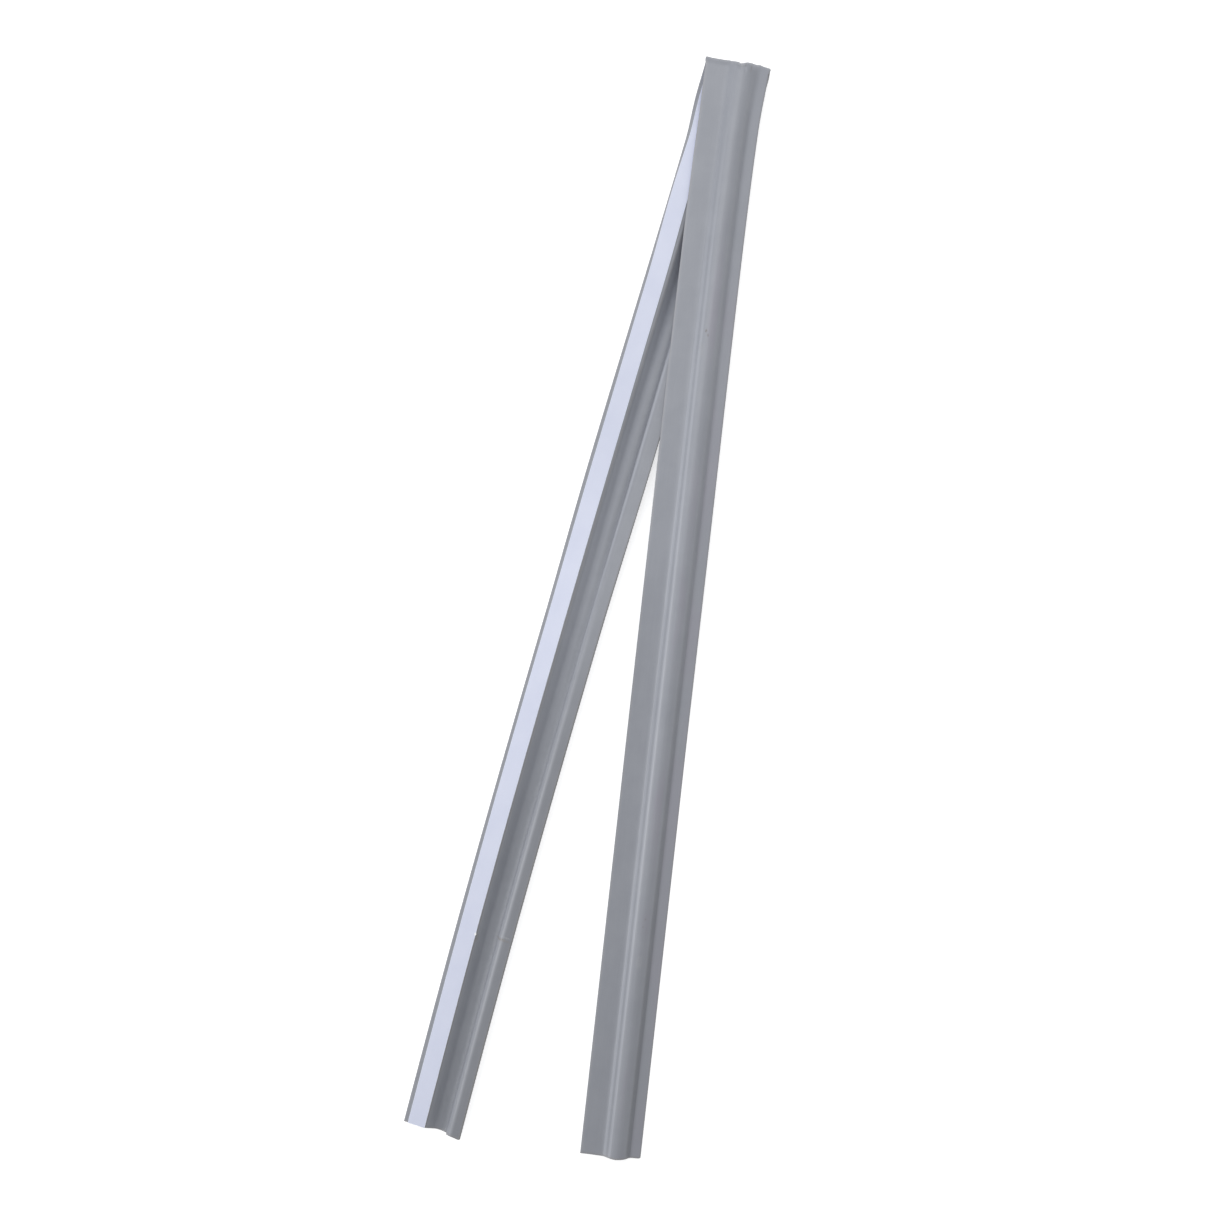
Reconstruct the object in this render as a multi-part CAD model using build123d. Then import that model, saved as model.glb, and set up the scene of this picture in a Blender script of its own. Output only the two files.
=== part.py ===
from build123d import *
from math import asin, atan2, cos, exp, hypot, pi, radians, sin
import os

# A door weatherstrip: one extruded rubber strip, a metre long, folded in half and laid on a floor.
# It carries an adhesive tape under its release liner. Sizes are in millimetres and degrees.
# +Y points from the free ends to the fold and +Z is up, with the bottom of the part at Z = 0.

# The strip's section, along its mid-line from the flange's free edge to the lip's tip
wall = 1.2
flange_width = 9.8
root_radius = 1.6
left_lean = 52.0
left_flank = 3.4
crown_radius = 4.4
right_lean = 56.0
lip_length = 4.4

# The tape and its liner, on the flange's inner face
tape_inset = 1.8
tape_width = 8.0
tape_thickness = 0.40
liner_thickness = 0.12
bond_line = 0.02

# The fold: the turns that are left in the section where it is pressed flat, with its lip bent in,
# how far along each leg it is back in its full form, the share of the bend at which it starts to
# rise again, and how far the fold's edge is turned askew
strip_length = 1000.0
front_run = 492.4
pressed_root = 2.5
pressed_crown = 3.5
pressed_lip = -10.0
crown_gather = 0.22
front_form_at_fold = 0.75
front_settle = 25.0
back_settle = 36.0
rise_start = 0.6
fold_skew = 2.8
leg_clearance = 0.5

# The upper leg in plan: it spreads to the right, then runs straight once it is down on the floor
front_turn_at_fold = 1.3
front_turn = 4.9
front_turn_reach = 40.0
descent_start = 176.0
descent_end = 320.0

# The lower leg in plan: it spreads to the left, rolls onto its flange edge and has one soft crease
back_turn_at_fold = 4.7
back_turn = 6.75
back_turn_reach = 170.0
back_relax_start = 110.0
back_relax = 0.008
crease_place = 408.0
crease_length = 30.0
crease_turn = 0.2
roll_start = 150.0
roll_end = 262.0

# How many steps the loft takes along each stretch
leg_steps = 32
settle_steps = 7
bend_steps = 12
plan_steps = 80
slope_step = 0.01

stack_height = 2 * bond_line + tape_thickness + liner_thickness
lip_droop = asin(stack_height / lip_length)
crown_turn = radians(left_lean + right_lean)
crown_fall = crown_radius * (cos(radians(right_lean)) - cos(radians(left_lean)))
crown_end = (
    root_radius * (1 - cos(radians(left_lean))) + left_flank * sin(radians(left_lean)) + crown_fall
)
right_flank = (crown_end - root_radius * (cos(lip_droop) - cos(radians(right_lean)))) / sin(
    radians(right_lean)
)


def ease(t):
    """Rise smoothly from 0 to 1 as t goes from 0 to 1."""
    t = min(max(t, 0), 1)
    return t * t * (3 - 2 * t)


def between(start, end, share):
    """Value at a share of the way from start to end."""
    return start + (end - start) * share


def stretches(form):
    """Give each stretch of the mid-line as its length and its turn: form is 0 pressed flat, 1 free."""
    gathered = between(1 - crown_gather, 1, form)
    root_turn = radians(left_lean)
    lip_turn = radians(right_lean) - lip_droop
    return [
        (flange_width, 0),
        (root_radius * root_turn, between(radians(pressed_root), root_turn, form)),
        (left_flank, 0),
        (crown_radius * crown_turn * gathered, -between(radians(pressed_crown), crown_turn, form)),
        (right_flank, 0),
        (root_radius * lip_turn, between(radians(pressed_lip), lip_turn, form)),
        (lip_length, 0),
    ]


def advance(pose, length, turn):
    """Move a pose (across, out, heading) along an arc, or along a line where the turn is 0."""
    across, out, heading = pose
    chord = length * (sin(turn / 2) / (turn / 2) if turn else 1)
    toward = heading + turn / 2
    return across + chord * cos(toward), out + chord * sin(toward), heading + turn


def mid_line(form):
    """Walk the mid-line and give the start, middle and end pose of each stretch."""
    pose = (0, 0, 0)
    walked = []
    for length, turn in stretches(form):
        middle = advance(pose, length / 2, turn / 2)
        end = advance(pose, length, turn)
        walked.append((pose, middle, end, turn))
        pose = end
    return walked


def chord_width(form):
    """Width from the flange's edge to the lip's tip, on the mid-line."""
    return mid_line(form)[-1][2][0]


def outer_height(form):
    """How far the mid-line stands out over the flange's, where it turns back from its highest."""
    tops = [0]
    for (length, turn), (start, _, end, _) in zip(stretches(form), mid_line(form)):
        if start[2] > 0 > end[2]:
            share = start[2] / (start[2] - end[2])
            tops.append(advance(start, length * share, turn * share)[1])
    return max(tops)


def strip_outline(form):
    """Closed outline of the strip's section, with its middle at the origin."""
    middle = chord_width(form) / 2

    def offset(pose, side):
        across, out, heading = pose
        return (
            across - middle - side * wall / 2 * sin(heading),
            out + side * wall / 2 * cos(heading),
        )

    edges = []
    for side in (1, -1):
        run = mid_line(form) if side == 1 else reversed(mid_line(form))
        for start, centre, end, turn in run:
            if side == -1:
                start, end = end, start
            if turn:
                edges.append(ThreePointArc(offset(start, side), offset(centre, side), offset(end, side)))
            else:
                edges.append(Line(offset(start, side), offset(end, side)))
        last = mid_line(form)[-1][2] if side == 1 else mid_line(form)[0][0]
        edges.append(Line(offset(last, side), offset(last, -side)))
    return Wire(edges)


def layer_outline(form, depth, thickness):
    """Closed outline of a flat layer that lies a given depth under the flange's inner face."""
    left = tape_inset - chord_width(form) / 2
    top = -wall / 2 - depth
    return Wire(
        Polyline(
            (left, top),
            (left + tape_width, top),
            (left + tape_width, top - thickness),
            (left, top - thickness),
            close=True,
        ).edges()
    )


def front_heading(run):
    """Turn of the upper leg from straight ahead, to the right."""
    return radians(front_turn + (front_turn_at_fold - front_turn) * exp(-run / front_turn_reach))


def back_heading(run):
    """Turn of the lower leg from straight ahead, to the left."""
    turn = back_turn + (back_turn_at_fold - back_turn) * exp(-run / back_turn_reach)
    turn -= back_relax * max(run - back_relax_start, 0)
    return radians(turn - crease_turn * ease((run - crease_place) / crease_length + 0.5))


def front_form(run):
    """Form of the upper leg's section at a distance from the bend."""
    return between(front_form_at_fold, 1, ease(run / front_settle))


def back_form(run):
    """Form of the lower leg's section, which lies pressed flat at the bend."""
    return ease(run / back_settle)


crown_start = mid_line(1)[3][0]
rest_across = crown_start[0] + crown_radius * sin(crown_start[2])
rest_out = crown_start[1] - crown_radius * cos(crown_start[2])
rest_reach = hypot(rest_across, wall / 2 - rest_out)
rest_roll = asin((crown_radius + wall / 2) / rest_reach) - atan2(wall / 2 - rest_out, rest_across)


def back_roll(run):
    """Roll of the lower leg, up to where it rests on its crown and on its flange's edge."""
    return rest_roll * ease((run - roll_start) / (roll_end - roll_start))


def back_height(run):
    """Height of the lower leg's middle, with its crown on the floor."""
    roll = back_roll(run)
    if not roll:
        return wall / 2 + outer_height(back_form(run))
    across = rest_across - chord_width(1) / 2
    return crown_radius + wall / 2 + rest_out * cos(roll) - across * sin(roll)


upper_height = wall / 2 + outer_height(1) + wall + 2 * stack_height + leg_clearance
floor_height = wall / 2 + stack_height
bend_radius = (upper_height - back_height(0)) / 2
back_run = strip_length - front_run - pi * bend_radius


def front_height(run):
    """Height of the upper leg's middle: over the lower leg, then down to the floor."""
    share = ease((run - descent_start) / (descent_end - descent_start))
    return between(upper_height, floor_height, share)


def plan_point(run, heading, side):
    """Follow a leg's turns from the bend and give where it is in plan."""
    step = run / plan_steps
    turns = [heading((count + 0.5) * step) for count in range(plan_steps)]
    return side * step * sum(sin(turn) for turn in turns), -step * sum(cos(turn) for turn in turns)


def leg_place(run, heading, height, side):
    """Middle of a leg's section, and the directions across it and away from the bend."""
    x, y = plan_point(run, heading, side)
    turn = side * heading(run)
    slope = (height(run + slope_step) - height(run - slope_step)) / (2 * slope_step)
    across = Vector(cos(turn), sin(turn), 0)
    away = Vector(sin(turn), -cos(turn), slope).normalized()
    return Vector(x, y, height(run)), across, away


def front_section(run):
    """Plane and form of the upper leg's section."""
    point, across, away = leg_place(run, front_heading, front_height, 1)
    return Plane(origin=point, x_dir=across, z_dir=away), front_form(run)


def back_section(run):
    """Plane and form of the lower leg's section, which lies on its outer face and rolls."""
    point, across, away = leg_place(run, back_heading, back_height, -1)
    roll = back_roll(run)
    rolled = across * cos(roll) + away.cross(across) * sin(roll)
    return Plane(origin=point, x_dir=rolled, z_dir=-away), back_form(run)


def bend_section(share):
    """Plane and form of a section round the bend, from the lower leg to the upper one."""
    angle = pi * share
    turn = between(-back_heading(0), front_heading(0), share) + radians(fold_skew) * sin(angle)
    across = Vector(cos(turn), sin(turn), 0)
    ahead = Vector(-sin(turn), cos(turn), 0)
    up = Vector(0, 0, 1)
    middle = up * (back_height(0) + bend_radius)
    point = middle + (ahead * sin(angle) - up * cos(angle)) * bend_radius
    form = front_form_at_fold * ease((share - rise_start) / (1 - rise_start))
    return Plane(origin=point, x_dir=across, z_dir=ahead * cos(angle) + up * sin(angle)), form


def spread(start, end, count):
    """Evenly spaced values from start to end."""
    return [between(start, end, step / count) for step in range(count + 1)]


sections = [back_section(run) for run in spread(back_run, back_settle, leg_steps)]
sections += [back_section(run) for run in spread(back_settle, 0, settle_steps)[1:]]
sections += [bend_section(share) for share in spread(0, 1, bend_steps)[1:]]
sections += [front_section(run) for run in spread(0, front_settle, settle_steps)[1:]]
sections += [front_section(run) for run in spread(front_settle, descent_end, leg_steps)[1:]]


def follow(outline):
    """Loft an outline through the sections, then run it straight along the floor to the front end."""
    folded = Solid.make_loft([plane * outline(form) for plane, form in sections], ruled=True)
    plane, form = sections[-1]
    straight = Solid.extrude(plane * Face(outline(form)), plane.z_dir * (front_run - descent_end))
    return (folded + straight).solid()


nodes = {
    "seal_strip": follow(strip_outline),
    "adhesive_tape": follow(lambda form: layer_outline(form, bond_line, tape_thickness)),
    "release_liner": follow(
        lambda form: layer_outline(form, 2 * bond_line + tape_thickness, liner_thickness)
    ),
}

box = Compound(list(nodes.values())).bounding_box()
shift = Vector(-box.center().X, -box.center().Y, -box.min.Z)

os.makedirs("parts", exist_ok=True)
for name, solid in nodes.items():
    export_step(solid.moved(Location(shift)), f"parts/{name}.step")
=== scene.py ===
import math

import bpy
import bmesh
import numpy as np
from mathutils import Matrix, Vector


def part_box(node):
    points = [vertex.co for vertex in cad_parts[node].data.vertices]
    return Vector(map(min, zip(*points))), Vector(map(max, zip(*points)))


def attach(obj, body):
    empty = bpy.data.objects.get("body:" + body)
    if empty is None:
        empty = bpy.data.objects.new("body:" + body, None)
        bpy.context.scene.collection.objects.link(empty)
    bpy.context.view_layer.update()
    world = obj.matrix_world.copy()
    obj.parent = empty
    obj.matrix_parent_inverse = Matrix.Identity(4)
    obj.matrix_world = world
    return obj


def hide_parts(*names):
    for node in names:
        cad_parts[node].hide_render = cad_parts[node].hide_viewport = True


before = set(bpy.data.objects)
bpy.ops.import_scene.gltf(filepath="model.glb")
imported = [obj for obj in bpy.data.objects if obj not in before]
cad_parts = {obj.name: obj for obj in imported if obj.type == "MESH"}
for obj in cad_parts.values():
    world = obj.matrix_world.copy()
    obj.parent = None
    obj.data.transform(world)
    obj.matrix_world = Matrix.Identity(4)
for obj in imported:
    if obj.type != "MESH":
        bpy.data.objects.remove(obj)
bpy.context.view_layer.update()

stripLow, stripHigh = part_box("seal_strip")
mm = 0.001
print("frame loaded:", ", ".join(sorted(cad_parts)))


# The strip's section and the way it lies. +Y runs from the free ends to the fold.

section = {
    "wall": 1.2 * mm,
    "flangeWidth": 9.8 * mm,
    "rootRadius": 1.6 * mm,
    "leftLean": math.radians(52),
    "leftFlank": 3.4 * mm,
    "crownRadius": 4.4 * mm,
    "rightLean": math.radians(56),
    "lipLength": 4.4 * mm,
}

# The turns left in the section where the fold presses it flat, with its lip bent in
pressed = {
    "root": math.radians(2.5),
    "crown": math.radians(3.5),
    "lip": math.radians(-10),
    "gather": 0.22,             # share of the crown's length that is gathered up
}

backing = {
    "inset": 1.8 * mm,          # from the flange's edge
    "width": 8.0 * mm,
    "spread": 0.35 * mm,        # how much wider it is on the lower leg
    "tape": 0.40 * mm,
    "liner": 0.12 * mm,
    "bond": 0.02 * mm,
}

fold = {
    "stripLength": 1000 * mm,
    "frontRun": 492.4 * mm,
    "riseStart": 0.6,           # share of the bend at which the section starts to rise again
    "skew": math.radians(2.8),  # how far the fold's edge is turned askew of the two legs
    "frontForm": 0.75,          # how much of its form the section has where the upper leg leaves the bend
    "frontSettle": 25 * mm,
    "backSettle": 36 * mm,
    "clearance": 0.5 * mm,
}

frontLeg = {
    "turnAtFold": 1.3,          # degrees
    "turn": 4.9,
    "reach": 40 * mm,
    "descentStart": 176 * mm,
    "descentEnd": 320 * mm,
}

backLeg = {
    "turnAtFold": 4.7,          # degrees
    "turn": 6.75,
    "reach": 170 * mm,
    "relaxStart": 110 * mm,
    "relax": 8.0,               # degrees lost in a metre
    "creasePlace": 408 * mm,
    "creaseLength": 30 * mm,
    "creaseTurn": 0.2,
    "rollStart": 150 * mm,
    "rollEnd": 262 * mm,
}

halfWall = section["wall"] / 2
stackHeight = 2 * backing["bond"] + backing["tape"] + backing["liner"]
lipDroop = math.asin(stackHeight / section["lipLength"])
crownTurn = section["leftLean"] + section["rightLean"]
rightFlank = (
    section["rootRadius"] * (1 - math.cos(section["leftLean"]))
    + section["leftFlank"] * math.sin(section["leftLean"])
    + section["crownRadius"] * (math.cos(section["rightLean"]) - math.cos(section["leftLean"]))
    - section["rootRadius"] * (math.cos(lipDroop) - math.cos(section["rightLean"]))
) / math.sin(section["rightLean"])


def ease(t):
    t = np.clip(t, 0, 1)
    return t * t * (3 - 2 * t)


def bump(t):  # 1 at 0, falling smoothly to nothing by about 2
    return np.exp(-np.square(t))


def between(start, end, share):
    return start + (end - start) * share


def stretchesAt(form):  # form is 0 where the section is pressed flat and 1 where it is free
    lipTurn = section["rightLean"] - lipDroop
    still = 0 * form
    return [
        (section["flangeWidth"] + still, still),
        (
            section["rootRadius"] * section["leftLean"] + still,
            between(pressed["root"], section["leftLean"], form),
        ),
        (section["leftFlank"] + still, still),
        (
            section["crownRadius"] * crownTurn * between(1 - pressed["gather"], 1, form),
            -between(pressed["crown"], crownTurn, form),
        ),
        (rightFlank + still, still),
        (section["rootRadius"] * lipTurn + still, between(pressed["lip"], lipTurn, form)),
        (section["lipLength"] + still, still),
    ]


def advance(pose, length, turn):
    across, out, heading = pose
    chord = length * np.sinc(turn / 2 / np.pi)
    toward = heading + turn / 2
    return across + chord * np.cos(toward), out + chord * np.sin(toward), heading + turn


def evenly(count):
    return [step / count for step in range(count)]


# Where along each stretch the mesh has points, as shares of the stretch
edgeSteps = [0, 0.004, 0.012, 0.026, 0.046, 0.075, 0.11, 0.15]
sectionSteps = [
    edgeSteps + [0.3, 0.45, 0.6, 0.75, 0.88],
    evenly(8),
    evenly(16),
    evenly(28),
    evenly(9),
    evenly(8),
    evenly(5)[:-1] + [0.7, 0.8, 0.88, 0.93, 0.965, 0.985, 1],
]


def midLine(form):
    pose = (0 * form, 0 * form, 0 * form)
    walked, places, start = [], [], 0.0
    for (length, turn), (whole, _), shares in zip(stretchesAt(form), stretchesAt(1.0), sectionSteps):
        for share in shares:
            walked.append(advance(pose, length * share, turn * share))
            places.append(start + whole * share)
        pose = advance(pose, length, turn)
        start += whole
    across, out, heading = np.array(walked).transpose(1, 2, 0)
    return across, out, heading, np.array(places)


def chordWidth(form):
    return midLine(np.atleast_1d(form))[0][:, -1]


def outerHeight(form):
    return np.maximum(midLine(np.atleast_1d(form))[1].max(1), 0)


fullChord = chordWidth(1.0)[0]
fullHeight = (
    section["rootRadius"] * (1 - math.cos(section["leftLean"]))
    + section["leftFlank"] * math.sin(section["leftLean"])
    + section["crownRadius"] * (1 - math.cos(section["leftLean"]))
)

# The lower leg rests on its crown and on its flange's edge: the crown's centre gives how far it rolls
crownAcross = (
    section["flangeWidth"]
    + section["rootRadius"] * math.sin(section["leftLean"])
    + section["leftFlank"] * math.cos(section["leftLean"])
    + section["crownRadius"] * math.sin(section["leftLean"])
)
crownOut = fullHeight - section["crownRadius"]
restReach = math.hypot(crownAcross, halfWall - crownOut)
restRoll = math.asin((section["crownRadius"] + halfWall) / restReach) - math.atan2(
    halfWall - crownOut, crownAcross
)


def frontFormAt(run):
    return between(fold["frontForm"], 1, ease(run / fold["frontSettle"]))


def backFormAt(run):
    return ease(run / fold["backSettle"])


def frontHeading(run):
    fade = np.exp(-run / frontLeg["reach"])
    return np.radians(frontLeg["turn"] + (frontLeg["turnAtFold"] - frontLeg["turn"]) * fade)


def backHeading(run):
    fade = np.exp(-run / backLeg["reach"])
    turn = backLeg["turn"] + (backLeg["turnAtFold"] - backLeg["turn"]) * fade
    turn = turn - backLeg["relax"] * np.maximum(run - backLeg["relaxStart"], 0)
    past = (run - backLeg["creasePlace"]) / backLeg["creaseLength"] + 0.5
    return np.radians(turn - backLeg["creaseTurn"] * ease(past))


def backRoll(run):
    return restRoll * ease((run - backLeg["rollStart"]) / (backLeg["rollEnd"] - backLeg["rollStart"]))


def backHeight(run):
    roll = backRoll(run)
    rolled = (
        section["crownRadius"] + halfWall + crownOut * np.cos(roll)
        - (crownAcross - fullChord / 2) * np.sin(roll)
    )
    flat = halfWall + outerHeight(backFormAt(run))
    return np.where(roll > 0, rolled, flat)


upperHeight = halfWall + fullHeight + section["wall"] + 2 * stackHeight + fold["clearance"]
floorHeight = halfWall + stackHeight
foldHeight = backHeight(np.zeros(1))[0]
bendRadius = (upperHeight - foldHeight) / 2
bendLength = math.pi * bendRadius
backRun = fold["stripLength"] - fold["frontRun"] - bendLength


def frontHeight(run):
    descent = frontLeg["descentEnd"] - frontLeg["descentStart"]
    return between(upperHeight, floorHeight, ease((run - frontLeg["descentStart"]) / descent))


planSteps = 4000                # steps that a leg is followed with in plan
nudge = 0.01 * mm               # to read a slope from two heights


def legPlaces(runs, heading, height, side):
    # follow the turns in plan, then read off each station
    fine = np.linspace(0, runs.max(), planSteps + 1)
    middles = heading((fine[1:] + fine[:-1]) / 2)
    step = fine[1]
    east = side * np.concatenate(([0], np.cumsum(np.sin(middles)) * step))
    north = -np.concatenate(([0], np.cumsum(np.cos(middles)) * step))
    point = np.stack([np.interp(runs, fine, east), np.interp(runs, fine, north), height(runs)], 1)
    turn = side * heading(runs)
    slope = (height(runs + nudge) - height(runs - nudge)) / (2 * nudge)
    across = np.stack([np.cos(turn), np.sin(turn), 0 * turn], 1)
    away = np.stack([np.sin(turn), -np.cos(turn), slope], 1)
    return point, across, away / np.linalg.norm(away, axis=1)[:, None]


# Stations along the strip: close together at the fold, the crease and the cut ends
spacing = {
    "fine": 0.3 * mm,
    "growth": 0.12,             # how fast the spacing grows away from those places
    "coarse": 4.0 * mm,
    "bendStations": 50,
}


def stationRuns(length, fineAt):
    runs, run = [0.0], 0.0
    while run < length:
        nearest = min(abs(run - place) for place in fineAt)
        run += min(spacing["coarse"], spacing["fine"] + spacing["growth"] * nearest)
        runs.append(min(run, length))
    return np.array(runs)


backRuns = stationRuns(backRun, (0, backLeg["creasePlace"], backRun))[::-1]
frontRuns = stationRuns(fold["frontRun"], (0, fold["frontRun"]))
bendShares = np.linspace(0, 1, spacing["bendStations"] + 1)[1:-1]

backPoint, backAcross, backAway = legPlaces(backRuns, backHeading, backHeight, -1)
roll = backRoll(backRuns)[:, None]
backAcross = backAcross * np.cos(roll) + np.cross(backAway, backAcross) * np.sin(roll)

angle = np.pi * bendShares[:, None]
turn = between(-backHeading(0.0), frontHeading(0.0), bendShares)
turn = turn + fold["skew"] * np.sin(np.pi * bendShares)
bendAcross = np.stack([np.cos(turn), np.sin(turn), 0 * turn], 1)
ahead = np.stack([-np.sin(turn), np.cos(turn), 0 * turn], 1)
up = np.array([[0, 0, 1.0]])
bendPoint = up * (foldHeight + bendRadius) + (ahead * np.sin(angle) - up * np.cos(angle)) * bendRadius

frontPoint, frontAcross, frontAway = legPlaces(frontRuns, frontHeading, frontHeight, 1)

along = np.concatenate([
    backRun - backRuns,
    backRun + bendShares * bendLength,
    backRun + bendLength + frontRuns,
])
origin = np.concatenate([backPoint, bendPoint, frontPoint])
acrossWay = np.concatenate([backAcross, bendAcross, frontAcross])
alongWay = np.concatenate([-backAway, ahead * np.cos(angle) + up * np.sin(angle), frontAway])
outWay = np.cross(alongWay, acrossWay)
form = np.concatenate([
    backFormAt(backRuns),
    fold["frontForm"] * ease((bendShares - fold["riseStart"]) / (1 - fold["riseStart"])),
    frontFormAt(frontRuns),
])
across, out, heading, place = midLine(form)
middle = across[:, -1:] / 2
stripLength = along[-1]
print("stations:", len(along), "with", len(place), "points across")


def swept(acrossAt, outAt, alongAt=0 * mm):
    # one point for each station and place across, from its own across, out and along distances
    return (
        origin[:, None, :]
        + (acrossAt - middle)[:, :, None] * acrossWay[:, None, :]
        + outAt[:, :, None] * outWay[:, None, :]
        + (alongAt + 0 * acrossAt)[:, :, None] * alongWay[:, None, :]
    )


plain = np.concatenate([
    swept(across - side * halfWall * np.sin(heading), out + side * halfWall * np.cos(heading))
    for side in (1, -1)
], 1).reshape(-1, 3)
low, high = plain.min(0), plain.max(0)
# The sweep starts at the fold: the CAD strip's box says where that is in the frame
toFrame = np.array([
    (stripLow.x + stripHigh.x - low[0] - high[0]) / 2,
    (stripLow.y + stripHigh.y - low[1] - high[1]) / 2,
    stripLow.z - low[2],
])
print("from the fold to the frame:", (toFrame / mm).round(3), "mm")


sharpFrom = math.radians(38)    # edges that turn more than this stay sharp


def ringMesh(name, rings, attributes):
    # rings: stations x outline points x 3; an outline's second half comes back along its first
    count, size = rings.shape[:2]
    index = np.arange(count * size).reshape(count, size)
    ahead = np.roll(index, -1, axis=1)
    faces = np.stack([index[:-1], ahead[:-1], ahead[1:], index[1:]], -1).reshape(-1, 4).tolist()
    for ring in (index[0].tolist(), index[-1].tolist()):    # the cut ends
        for step in range(size // 2 - 1):
            faces.append([ring[step], ring[step + 1], ring[size - 2 - step], ring[size - 1 - step]])
    mesh = bpy.data.meshes.new(name)
    mesh.from_pydata(rings.reshape(-1, 3).tolist(), [], faces)
    for key, values in attributes.items():
        made = mesh.attributes.new(key, "FLOAT", "POINT")
        spread = np.broadcast_to(values, (count, size)).astype(np.float32)
        made.data.foreach_set("value", spread.ravel())
    work = bmesh.new()
    work.from_mesh(mesh)
    bmesh.ops.recalc_face_normals(work, faces=work.faces)
    work.to_mesh(mesh)
    work.free()
    mesh.shade_smooth()
    mesh.set_sharp_from_angle(angle=sharpFrom)
    piece = bpy.data.objects.new(name, mesh)
    bpy.context.scene.collection.objects.link(piece)
    return piece


# The rubber strip
rubber = {
    "flangeRound": (1.5 * mm, 0.34 * mm),       # how far in, and how deep, the flange's outer edge rounds off
    "lipRound": (0.8 * mm, 0.26 * mm),
    "backRound": (0.35 * mm, 0.22 * mm),        # the edges of the inner face
    "opened": 0.60 * mm,                        # how far the lower leg's arch is drawn open
    "openedAlong": (300 * mm, 100 * mm),        # where that starts to fade, and over how much
    "openedAcross": (14 * mm, 10 * mm),         # where it starts to grow, and over how much
    # where the wall is thicker or thinner: place across, width and how much
    "outerWall": [
        (10.6 * mm, 0.80 * mm, 0.16 * mm),      # the roots of the arch are filled in a little
        (26.6 * mm, 0.90 * mm, 0.14 * mm),
        (13.75 * mm, 0.28 * mm, -0.032 * mm),   # fine lines left by the die
        (19.3 * mm, 0.50 * mm, -0.035 * mm),
    ],
    "innerWall": [
        (24.6 * mm, 1.60 * mm, 0.80 * mm),      # the lip's root stands out as a ridge
        (28.4 * mm, 1.60 * mm, 0.12 * mm),
        (11.2 * mm, 0.35 * mm, -0.05 * mm),
    ],
    # where it is out of true, in mm: along, place across, their reaches, and how far it stands out
    "dents": [
        (503.4, 0.0, 1.8, 1.6, 0.35),           # the fold's left corner flares
        (504.9, 13.4, 1.3, 0.9, 0.15),
        (505.7, 17.2, 1.7, 1.8, -0.95),         # the crown is crumpled at the fold
        (507.3, 17.6, 0.5, 0.5, 0.22),
        (506.4, 15.9, 0.6, 0.5, -0.20),
        (506.0, 19.6, 1.0, 0.8, 0.14),
        (507.6, 21.9, 1.6, 0.35, -0.24),
        (508.4, 19.2, 0.9, 0.5, -0.12),
        (501.7, 15.8, 1.6, 1.6, -0.42),         # small crumples on the fold's edge
        (504.3, 17.4, 1.7, 2.3, -0.50),
        (503.9, 15.4, 1.0, 0.40, 0.22),
        (504.5, 18.4, 0.9, 0.45, 0.24),
        (503.0, 22.6, 1.8, 1.2, 0.26),
        (501.7, 31.5, 2.2, 2.6, 0.30),
        (91.2, 27.6, 0.45, 3.2, -0.22),         # the lower leg's crease
        (92.3, 27.9, 0.40, 2.2, 0.14),
        (93.0, 24.5, 1.4, 1.8, -0.10),
        (89.6, 14.0, 2.5, 4.0, 0.10),
    ],
}

cuts = {
    "reach": 5.0 * mm,                          # the ends are drawn askew over this length
    "waver": (0.07 * mm, 1.9 * mm),
    "cornerPower": 1.5,
    "front": {
        "long": 0.55 * mm, "short": 0.40 * mm,
        "from": 17.0 * mm, "to": 22.0 * mm,
        "corner": (1.2 * mm, 0.45 * mm),
    },
    "back": {
        "long": 0.70 * mm, "short": 0.30 * mm,
        "from": 2.0 * mm, "to": 9.0 * mm,
        "corner": (0.6 * mm, 0.25 * mm),
    },
}


def outOfTrue():
    lift = np.zeros((len(along), len(place)))
    for atAlong, atPlace, reachAlong, reachPlace, height in rubber["dents"]:
        nearAlong = bump((along / mm - atAlong) / reachAlong)[:, None]
        lift += height * mm * nearAlong * bump((place / mm - atPlace) / reachPlace)
    return lift


def cutShift(places):
    # how far each point moves along the strip, so that the ends are cut by hand and not quite square
    size, pitch = cuts["waver"]
    shift = 0
    for cut, distance, inward in ((cuts["back"], along, 1), (cuts["front"], stripLength - along, -1)):
        wide, deep = cut["corner"]
        short = cut["short"] * ease((places - cut["from"]) / (cut["to"] - cut["from"])) - cut["long"]
        short = short + deep * np.clip((places - (place[-1] - wide)) / wide, 0, 1) ** cuts["cornerPower"]
        short = short + size * np.sin(places / pitch)
        shift = shift + inward * short[None, :] * ease(1 - distance / cuts["reach"])[:, None]
    return shift


def edgeDrop(place, length, flangeEdge, lipEdge):
    total = 0
    for inward, (width, depth) in ((place, flangeEdge), (length - place, lipEdge)):
        share = np.clip(1 - inward / width, 0, 1)
        total = total + depth * (1 - np.sqrt(np.maximum(1 - share ** 2, 0)))
    return total


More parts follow.
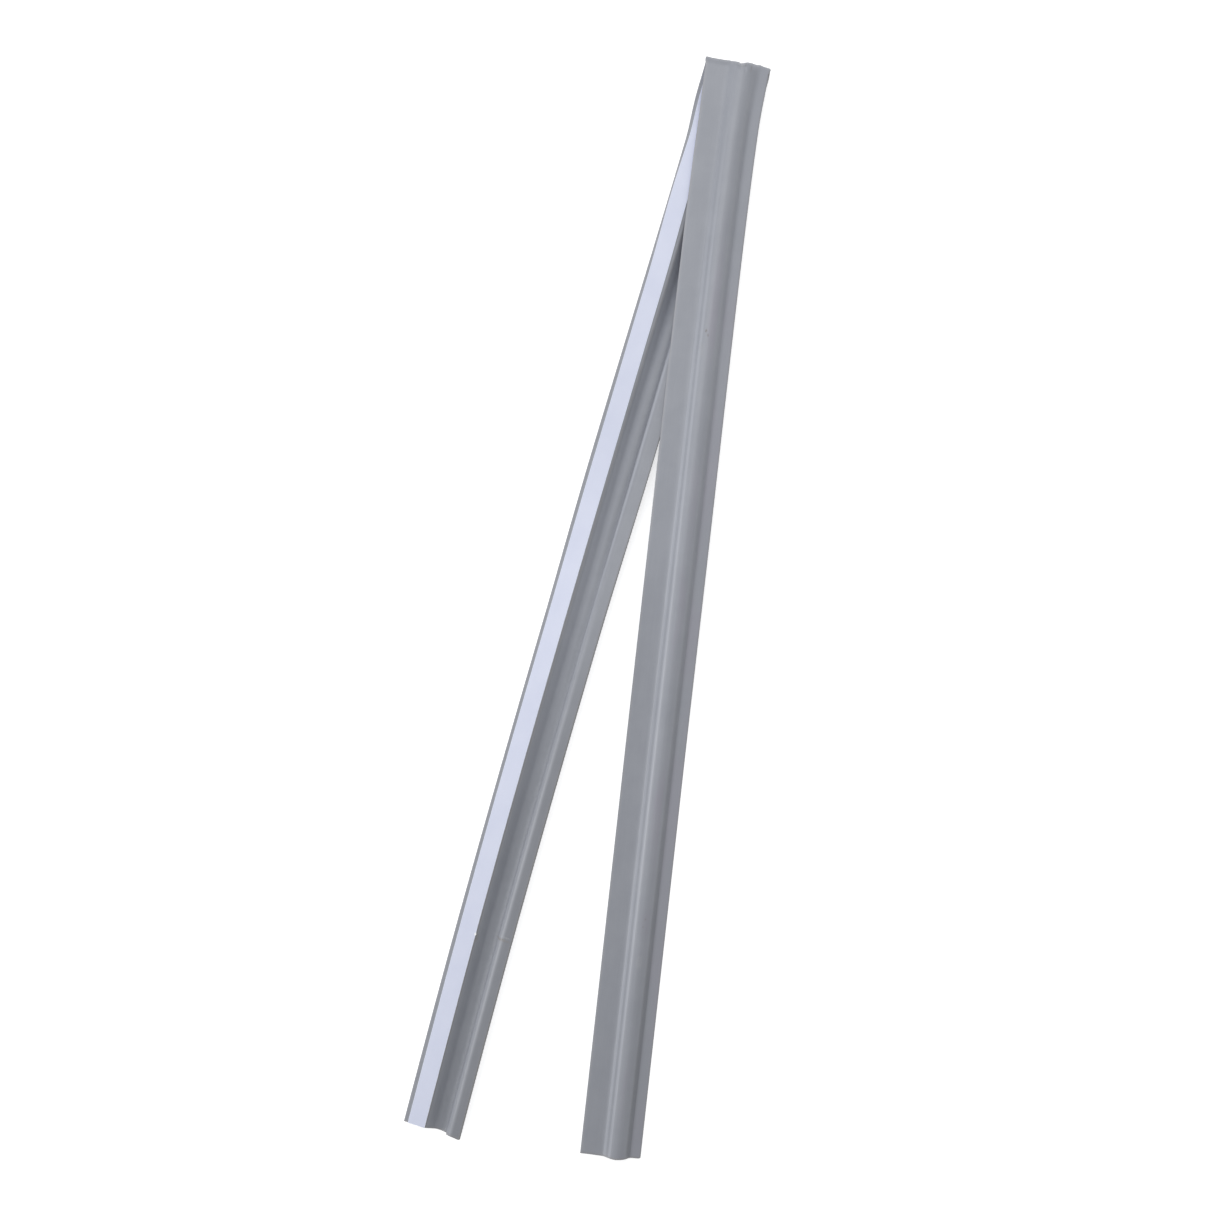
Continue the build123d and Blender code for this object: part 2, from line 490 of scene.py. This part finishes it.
def makeStrip():
    outerHalf = halfWall - edgeDrop(place, place[-1], rubber["flangeRound"], rubber["lipRound"])
    innerHalf = halfWall - edgeDrop(place, place[-1], rubber["backRound"], rubber["backRound"])
    for half, changes in ((outerHalf, rubber["outerWall"]), (innerHalf, rubber["innerWall"])):
        for at, width, extra in changes:
            half += extra * bump((place - at) / width)
    fadeFrom, fadeOver = rubber["openedAlong"]
    growFrom, growOver = rubber["openedAcross"]
    stays = 1 - ease((along - fadeFrom) / fadeOver)
    opened = rubber["opened"] * stays[:, None] * ease((place - growFrom) / growOver)
    lifted, shift = out + outOfTrue(), cutShift(place)
    outer, inner = (
        swept(
            across + opened - side * half * np.sin(heading),
            lifted + side * half * np.cos(heading),
            shift,
        )
        for side, half in ((1, outerHalf), (-1, innerHalf))
    )
    rings = np.concatenate([outer, inner[:, ::-1]], 1) + toFrame
    return ringMesh("weatherstrip_rubber", rings, {
        "along": along[:, None],
        "across": np.concatenate([place, place[::-1]]),
        "side": np.repeat([1, -1], len(place)),
    })


strip = makeStrip()
print("strip:", len(strip.data.polygons), "faces")


# Tape and liner, on the flange's inner face
layers = {
    # where across them the mesh has points, as shares of the width
    "steps": [0, 0.01, 0.03, 0.07, 0.15, 0.3, 0.45, 0.6, 0.75, 0.88, 0.94, 0.975, 0.99, 1],
    "spreadAlong": (200 * mm, 180 * mm),        # where their spread starts to fade, and over how much
    # how they wander across the flange, in mm: where along the strip, the reach and how far
    "wander": [(0, 110, 0.45), (400, 70, -0.50), (437, 26, -0.80)],
}

# The liner's edge is nicked beside the crease
nick = {
    "along": 89.9 * mm,
    "reach": 0.55 * mm,
    "out": 0.42 * mm,
    "lift": 0.16 * mm,
    "power": 12,                                # the higher, the closer it keeps to the edge
}


def makeLayer(name, depth, thickness, nicked):
    shares = np.array(layers["steps"])
    fadeFrom, fadeOver = layers["spreadAlong"]
    wide = backing["width"] + backing["spread"] * (1 - ease((along - fadeFrom) / fadeOver))
    drift = sum(
        aside * mm * bump((along / mm - where) / reach) for where, reach, aside in layers["wander"]
    )
    pulled = nicked * bump((along - nick["along"]) / nick["reach"])[:, None] * shares ** nick["power"]
    at = backing["inset"] + drift[:, None] + wide[:, None] * shares + nick["out"] * pulled
    top = -halfWall - depth - nick["lift"] * pulled
    places = backing["width"] * shares
    shift = cutShift(backing["inset"] + drift[0] + places)
    rings = np.concatenate([swept(at, top, shift), swept(at, top - thickness, shift)[:, ::-1]], 1)
    return ringMesh(name, rings + toFrame, {
        "along": along[:, None],
        "across": np.concatenate([places, places[::-1]]),
    })


tape = makeLayer("adhesive_tape_layer", backing["bond"], backing["tape"], 0)
liner = makeLayer("release_liner_paper", 2 * backing["bond"] + backing["tape"], backing["liner"], 1)
print("tape and liner:", len(tape.data.polygons), "+", len(liner.data.polygons), "faces")


class Wire:
    # An output socket of a shader node. Sums and products of wires add Math nodes.
    def __init__(self, tree, socket=None):
        self.tree, self.socket = tree, socket

    def add(self, kind, settings, sockets, output=0):
        made = self.tree.nodes.new(kind)
        for key, value in settings.items():
            setattr(made, key, value)
        for key, value in sockets.items():
            if isinstance(value, Wire):
                self.tree.links.new(value.socket, made.inputs[key])
            else:
                made.inputs[key].default_value = value
        return Wire(self.tree, made.outputs[output]) if made.outputs else None

    def math(self, operation, *values):
        return self.add("ShaderNodeMath", {"operation": operation}, dict(enumerate(values)))

    def __add__(self, other):
        return self.math("ADD", self, other)

    def __sub__(self, other):
        return self.math("SUBTRACT", self, other)

    def __rsub__(self, other):
        return self.math("SUBTRACT", other, self)

    def __mul__(self, other):
        return self.math("MULTIPLY", self, other)

    def __truediv__(self, other):
        return self.math("DIVIDE", self, other)

    def __rtruediv__(self, other):
        return self.math("DIVIDE", other, self)

    def __pow__(self, other):
        return self.math("POWER", self, other)

    def __rpow__(self, other):
        return self.math("POWER", other, self)

    __radd__ = __add__
    __rmul__ = __mul__

    def rise(self, low, high):  # 0 below low, 1 above high, smooth between
        settings = {"interpolation_type": "SMOOTHSTEP", "clamp": True}
        sockets = {"Value": self, "From Min": low, "From Max": high}
        return self.add("ShaderNodeMapRange", settings, sockets)

    def past(self, span):  # the same, for a span in mm
        return self.rise(span[0] * mm, span[1] * mm)

    def band(self, edges):  # 1 between the middle two of four edges in mm
        return self.past(edges[:2]) * (1 - self.past(edges[2:]))

    def near(self, line, span):  # 1 at a line, fading over a span beside it, in mm
        return 1 - self.math("ABSOLUTE", self - line * mm).past(span)

    def attribute(self, name):
        settings = {"attribute_type": "GEOMETRY", "attribute_name": name}
        return self.add("ShaderNodeAttribute", settings, {}, "Fac")

    def spot(self, alongAt, acrossAt, where, reach):  # 1 at a place on the strip, 0 beyond its reach, in mm
        awayAlong = (alongAt - where[0] * mm) / (reach[0] * mm)
        awayAcross = (acrossAt - where[1] * mm) / (reach[1] * mm)
        return 1 - (awayAlong ** 2 + awayAcross ** 2).rise(0.1, 1.0)

    def vector(self, x, y, z):
        return self.add("ShaderNodeCombineXYZ", {}, {"X": x, "Y": y, "Z": z})

    def noise(self, where, scale, detail=2.0, roughness=0.5):
        sockets = {"Vector": where, "Scale": scale, "Detail": detail, "Roughness": roughness}
        return self.add("ShaderNodeTexNoise", {"noise_dimensions": "3D"}, sockets, "Fac")

    def mix(self, factor, colourA, colourB):
        settings = {"data_type": "RGBA", "clamp_factor": True}
        full = [c if isinstance(c, Wire) else (*c, 1) for c in (colourA, colourB)]
        return self.add("ShaderNodeMix", settings, {0: factor, 6: full[0], 7: full[1]}, 2)


def newMaterial(name):
    material = bpy.data.materials.new(name)
    material.use_nodes = True
    material.node_tree.nodes.clear()
    return material, Wire(material.node_tree)


rubberLook = {
    "grey": (0.328, 0.344, 0.387),
    "pale": (0.351, 0.367, 0.410),
    "mauve": (0.356, 0.342, 0.404),
    # painted highlight: a paler grey laid where the arch, the lip, the ridge and the hollow catch the light
    "streak": (0.470, 0.490, 0.544),
    "warm": (0.375, 0.372, 0.378),      # at the flange's edge, a paler and warmer grey
    "brown": (0.262, 0.250, 0.240),     # at the lip's tip and the cut ends
    # dirt, and painted shade in creases and along the liner's edge
    "soilAndShade": (0.215, 0.200, 0.190),
    # scuffs, and a painted highlight on the crease
    "scuffAndHighlight": (0.400, 0.405, 0.420),
    "roughness": 0.43,
    # bands across the section, in mm: where each starts and is full, then begins to fade and is gone
    "bands": {
        "crownSide": (16.8, 18.6, 20.4, 22.0),
        "farFlank": (21.8, 23.2, 25.8, 26.8),
        "hollow": (10.8, 12.4, 17.5, 20.0),
    },
    # lines along the strip: place across, and the span beside it over which each fades
    "lines": {
        "streaks": [(11.9, (0.52, 1.3)), (15.1, (0.4, 1.0))],
        "ridge": (25.1, (0.3, 1.2)),
        # painted shadow of the tape's edge on the inner face, beside the liner
        "linerEdge": (10.45, (0.05, 0.40)),
    },
    # where along the strip, in mm, each tone grows from nothing to its full share
    "grows": {
        "mauve": (530, 640),
        "foot": (700, 1000),
        "backFoot": (100, 420),
        "lip": (150, 290),
        "farFlank": (560, 980),
        "streaks": (505, 640),
        "ridge": (180, 320),
        "hollow": (110, 300),
    },
    "shares": {
        "mauve": 0.45,
        "foot": 0.11,
        "inner": 0.06,
        "backFoot": 0.14,
        "lip": 0.22,
        "farFlank": 0.21,
        "streaks": 0.45,
        "outerLip": 0.20,
        "ridge": (0.10, 0.50),
        "hollow": 0.43,
        "flangeEdge": (0.25, 0.25),     # all along, and where it is broken up
        "lipEdge": 0.55,
        "cutEdge": (0.25, 0.35),
        "foldEdge": 0.10,
        "linerEdge": 0.35,
    },
    # marks in mm: along, place across, their reaches, how strong, and 1 outside or -1 inside
    "soilsAndShades": [
        # brownish specks on the crown
        (626.4, 17.2, 1.1, 0.6, 0.85, 1),
        (628.2, 18.1, 0.9, 0.5, 0.75, 1),
        (891.4, 19.4, 1.0, 0.5, 0.40, 1),
        (895.0, 18.8, 0.8, 0.5, 0.35, 1),
        # painted shade in the creases of the crumpled fold
        (507.5, 21.9, 1.8, 0.45, 0.45, 1),
        (506.6, 19.0, 0.9, 0.5, 0.40, 1),
        # a dark mark on the inner face beside the liner's edge
        (88.2, 10.8, 2.4, 0.7, 0.60, -1),
        # painted shade along the lower leg's crease
        (91.1, 25.5, 0.80, 6.5, 0.85, -1),
    ],
    "scuffsAndHighlights": [
        # a pale speck on the crumple at the fold
        (507.3, 17.6, 0.7, 0.6, 0.75, 1),
        # pale patches where the crown is rubbed
        (635.0, 15.9, 4.0, 1.6, 0.30, 1),
        (911.0, 18.8, 4.0, 1.6, 0.30, 1),
        # painted highlight on the raised side of the lower leg's crease
        (92.5, 28.0, 0.5, 3.0, 0.35, -1),
    ],
    # fine wrinkles where the crown has been rubbed: where and how far, in mm
    "wrinkles": [((900.0, 17.6), (42.0, 3.6)), ((634.0, 16.0), (16.0, 3.2))],
}


def rubberMaterial():
    bands, lines, grows, shares = (rubberLook[name] for name in ("bands", "lines", "grows", "shares"))
    black = (0.0, 0.0, 0.0)
    material, wire = newMaterial("matt grey rubber")
    alongAt, acrossAt, side = (wire.attribute(name) for name in ("along", "across", "side"))
    inner = (1 - side) * 0.5
    outer = 1 - inner
    flat = wire.vector(acrossAt, alongAt, side * 0.05)
    cloud = wire.noise(flat, 90, 3)
    drawn = wire.noise(wire.vector(acrossAt * 60, alongAt, side * 3), 40, 3, 0.6)  # long fine lines
    drift = wire.noise(wire.vector(acrossAt * 4, alongAt, side), 22, 2)
    grain = wire.noise(flat, 2600, 2)
    broken = wire.noise(flat, 1500, 2).rise(0.42, 0.62)
    mottled = (cloud * 0.6 + drawn * 0.4).rise(0.35, 0.65)
    colour = wire.mix(mottled, rubberLook["grey"], rubberLook["pale"])

    # the crown's far side and the lip have a mauve cast
    mauve = (acrossAt.band(bands["crownSide"]) + acrossAt.past((24.5, 27.0))) * outer
    mauve = mauve * alongAt.past(grows["mauve"]) * drift.rise(0.38, 0.62)
    colour = wire.mix(mauve * shares["mauve"], colour, rubberLook["mauve"])

    # painted shade: the free ends darker than the fold, the inner face darker than the outer, and the lower
    # leg's inner lip and the arch's far flank towards the front end darker still
    toBackFoot = 1 - alongAt.past(grows["backFoot"])
    innerLip = inner * acrossAt.past((26.6, 28.0)) * (1 - alongAt.past(grows["lip"]))
    farFlank = outer * acrossAt.band(bands["farFlank"]) * alongAt.past(grows["farFlank"])
    paintedShade = alongAt.past(grows["foot"]) * shares["foot"]
    paintedShade = paintedShade + inner * (shares["inner"] + toBackFoot * shares["backFoot"])
    paintedShade = paintedShade + innerLip * shares["lip"] + farFlank * shares["farFlank"]
    colour = wire.mix(paintedShade, colour, black)

    # painted highlights: two paler lines along the arch's near flank where it faces the light, and the outer
    # lip, the inner ridge and the hollow painted paler as if lit
    streak = sum(acrossAt.near(line, span) for line, span in lines["streaks"])
    streak = streak * outer * alongAt.past(grows["streaks"]) * (0.7 + drawn * 0.5)
    outerLip = outer * acrossAt.past((26.5, 28.0))
    # painted highlight along the inner ridge, stronger towards the fold
    ridgeBase, ridgeMore = shares["ridge"]
    ridge = inner * acrossAt.near(*lines["ridge"]) * (ridgeBase + alongAt.past(grows["ridge"]) * ridgeMore)
    # the hollow inside is painted paler: painted light in the shaded channel
    hollow = inner * acrossAt.band(bands["hollow"]) * alongAt.past(grows["hollow"])
    streak = streak * shares["streaks"] + outerLip * shares["outerLip"] + ridge + hollow * shares["hollow"]
    colour = wire.mix(streak, colour, rubberLook["streak"])

    # the edges take their own tones: a paler, warmer flange edge, a browner lip tip, cut ends and fold edge;
    # a painted shadow of the tape's edge runs along the liner's edge on the inner face
    toLip = float(place[-1]) - acrossAt
    toCut = wire.math("MINIMUM", alongAt, float(stripLength) - alongAt)
    for mask, share, tone in (
        (1 - acrossAt.past((0.1, 1.1)), shares["flangeEdge"], "warm"),
        (1 - toLip.past((0.05, 0.8)), shares["lipEdge"], "brown"),
        (1 - toCut.past((0.1, 1.3)), shares["cutEdge"], "brown"),
        (alongAt.near(503.2, (0.4, 1.8)), shares["foldEdge"], "brown"),
        # painted shadow along the liner's edge
        (inner * acrossAt.near(*lines["linerEdge"]), shares["linerEdge"], "soilAndShade"),
    ):
        if isinstance(share, tuple):
            share = share[0] + broken * share[1]
        colour = wire.mix(mask * share, colour, rubberLook[tone])
    # dark marks are dirt specks and painted shade in creases; pale marks are scuffs, a speck and a painted
    # highlight on the crease
    for marks, tone in (("soilsAndShades", "soilAndShade"), ("scuffsAndHighlights", "scuffAndHighlight")):
        for *where, strength, onSide in rubberLook[marks]:
            mark = wire.spot(alongAt, acrossAt, where[:2], where[2:]) * (0.4 + broken * 0.6) * strength
            colour = wire.mix(mark * (outer if onSide == 1 else inner), colour, rubberLook[tone])

    wrinkle = wire.noise(wire.vector(acrossAt * 0.6, alongAt, side), 700, 3, 0.6)
    wrinkled = sum(wire.spot(alongAt, acrossAt, *spot) for spot in rubberLook["wrinkles"])
    height = drawn * 0.7 + grain * 0.3 + wrinkle * wrinkled * 2.5
    bumped = wire.add("ShaderNodeBump", {}, {"Strength": 0.35, "Distance": 0.05 * mm, "Height": height})
    shader = wire.add("ShaderNodeBsdfPrincipled", {}, {
        "Base Color": colour,
        "Roughness": rubberLook["roughness"] + (drawn - 0.5) * 0.10 + (grain - 0.5) * 0.06,
        "Normal": bumped,
        "IOR": 1.5,
        "Specular IOR Level": 0.5,
    })
    wire.add("ShaderNodeOutputMaterial", {}, {"Surface": shader})
    return material


tapeLook = {"milky": (0.70, 0.71, 0.72), "pale": (0.76, 0.77, 0.78)}


def tapeMaterial():
    material, wire = newMaterial("double sided tape")
    flat = wire.vector(wire.attribute("across"), wire.attribute("along"), 0.0)
    cells = wire.noise(flat, 1800, 3)
    colour = wire.mix(cells.rise(0.3, 0.7), tapeLook["milky"], tapeLook["pale"])
    bumped = wire.add("ShaderNodeBump", {}, {"Strength": 0.3, "Distance": 0.04 * mm, "Height": cells})
    shader = wire.add("ShaderNodeBsdfPrincipled", {}, {
        "Base Color": colour, "Roughness": 0.62 + (cells - 0.5) * 0.1, "Normal": bumped,
    })
    wire.add("ShaderNodeOutputMaterial", {}, {"Surface": shader})
    return material


linerLook = {
    "lavender": (0.728, 0.768, 0.935),
    "pale": (0.770, 0.808, 0.965),
    "edge": (0.83, 0.86, 0.95),
    "white": (0.92, 0.92, 0.93),        # the paper's core, where it is nicked
    "edgeShare": 0.4,
    "footShade": 0.12,                  # painted shade: it is darker towards the free end
    "footSpan": (60, 420),              # in mm along the strip
}


def linerMaterial():
    material, wire = newMaterial("coated liner paper")
    alongAt, acrossAt = wire.attribute("along"), wire.attribute("across")
    flat = wire.vector(acrossAt, alongAt, 0.0)
    cloud = wire.noise(flat, 60, 3)
    fibre = wire.noise(wire.vector(acrossAt * 3, alongAt, 0.0), 900, 4, 0.65)
    mottled = (cloud * 0.7 + fibre * 0.3).rise(0.3, 0.7)
    colour = wire.mix(mottled, linerLook["lavender"], linerLook["pale"])
    toFoot = 1 - alongAt.past(linerLook["footSpan"])
    colour = wire.mix(toFoot * linerLook["footShade"], colour, (0.0, 0.0, 0.0))
    toEdge = wire.math("MINIMUM", acrossAt, backing["width"] - acrossAt)
    colour = wire.mix((1 - toEdge.past((0.05, 0.45))) * linerLook["edgeShare"], colour, linerLook["edge"])
    nicked = wire.spot(alongAt, acrossAt, (nick["along"] / mm, backing["width"] / mm), (0.9, 0.9))
    colour = wire.mix(nicked, colour, linerLook["white"])
    bumped = wire.add("ShaderNodeBump", {}, {
        "Strength": 0.25, "Distance": 0.04 * mm, "Height": fibre * 0.4 + cloud * 0.6,
    })
    shader = wire.add("ShaderNodeBsdfPrincipled", {}, {
        "Base Color": colour, "Roughness": 0.38 + (fibre - 0.5) * 0.1, "Normal": bumped,
    })
    wire.add("ShaderNodeOutputMaterial", {}, {"Surface": shader})
    return material


for piece, makeMaterial, node, slot in (
    (strip, rubberMaterial, "seal_strip", "strip_rubber"),
    (tape, tapeMaterial, "adhesive_tape", "tape"),
    (liner, linerMaterial, "release_liner", "liner"),
):
    piece.data.materials.append(makeMaterial())
    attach(piece, "root")
    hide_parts(node)
print("materials made")


# Floor, light and camera
studio = {
    "floorSize": 3.0,
    "floorSquares": 6,
    "floorGap": 0.03 * mm,      # it lies this far under the part
    "floorColour": (0.86, 0.86, 0.865),
    "floorWhite": 0.64,         # added where the camera or a reflection sees the floor
    "sky": 0.46,
}

softboxes = {
    "left low": {"place": (-0.50, -0.18, 0.14), "size": (0.30, 0.14), "power": 1.0},
    "over the fold": {"place": (-0.25, 0.40, 0.80), "size": (0.9, 0.6), "power": 3.15},
}

camera = {
    "height": 906 * mm,
    "place": (-9.35 * mm, -2.91 * mm),
    "turn": math.radians(11.25),
    "halfFrame": 607 / 2000,    # half of the 1214 pixel frame, over the distance in pixels
    "sensor": 36.0,
    "clip": (0.05, 20.0),
}


def seenWhite(wire):
    # 1 for what the camera, a reflection or a see-through material looks at
    direct, glossy, through = (
        wire.add("ShaderNodeLightPath", {}, {}, f"Is {kind} Ray")
        for kind in ("Camera", "Glossy", "Transmission")
    )
    return wire.math("MAXIMUM", wire.math("MAXIMUM", direct, glossy), through)


def makeFloor():
    work = bmesh.new()
    squares = studio["floorSquares"]
    bmesh.ops.create_grid(work, x_segments=squares, y_segments=squares, size=studio["floorSize"] / 2)
    mesh = bpy.data.meshes.new("studio_floor")
    work.to_mesh(mesh)
    work.free()
    floor = bpy.data.objects.new("studio_floor", mesh)
    floor.location.z = -studio["floorGap"]
    bpy.context.scene.collection.objects.link(floor)
    material, wire = newMaterial("pale studio floor")
    matt = wire.add("ShaderNodeBsdfDiffuse", {}, {"Color": (*studio["floorColour"], 1)})
    glow = wire.add("ShaderNodeEmission", {}, {
        "Color": (1, 1, 1, 1), "Strength": seenWhite(wire) * studio["floorWhite"],
    })
    both = wire.add("ShaderNodeAddShader", {}, {0: matt, 1: glow})
    wire.add("ShaderNodeOutputMaterial", {}, {"Surface": both})
    mesh.materials.append(material)


def makeWorld():
    world = bpy.data.worlds.new("soft studio")
    bpy.context.scene.world = world
    world.use_nodes = True
    world.node_tree.nodes.clear()
    wire = Wire(world.node_tree)
    strength = studio["sky"] + seenWhite(wire) * (1 - studio["sky"])
    sky = wire.add("ShaderNodeBackground", {}, {"Color": (1, 1, 1, 1), "Strength": strength})
    wire.add("ShaderNodeOutputWorld", {}, {"Surface": sky})


def makeSoftbox(name, box):
    data = bpy.data.lights.new(name, "AREA")
    data.shape = "RECTANGLE"
    data.size, data.size_y = box["size"]
    data.energy = box["power"]
    lamp = bpy.data.objects.new(name, data)
    lamp.location = box["place"]
    lamp.rotation_euler = (-lamp.location).to_track_quat("-Z", "Y").to_euler()
    lamp.visible_camera = False
    bpy.context.scene.collection.objects.link(lamp)


def makeCamera():
    data = bpy.data.cameras.new("camera")
    data.sensor_width = camera["sensor"]
    data.lens = data.sensor_width / 2 / camera["halfFrame"]
    data.clip_start, data.clip_end = camera["clip"]
    made = bpy.data.objects.new("camera", data)
    made.location = (*camera["place"], camera["height"])
    made.rotation_euler = (0, 0, camera["turn"])
    bpy.context.scene.collection.objects.link(made)
    bpy.context.scene.camera = made


makeFloor()
makeWorld()
for name, box in softboxes.items():
    makeSoftbox(name, box)
makeCamera()
bpy.context.scene.view_settings.view_transform = "Standard"
print("floor, light and camera set")
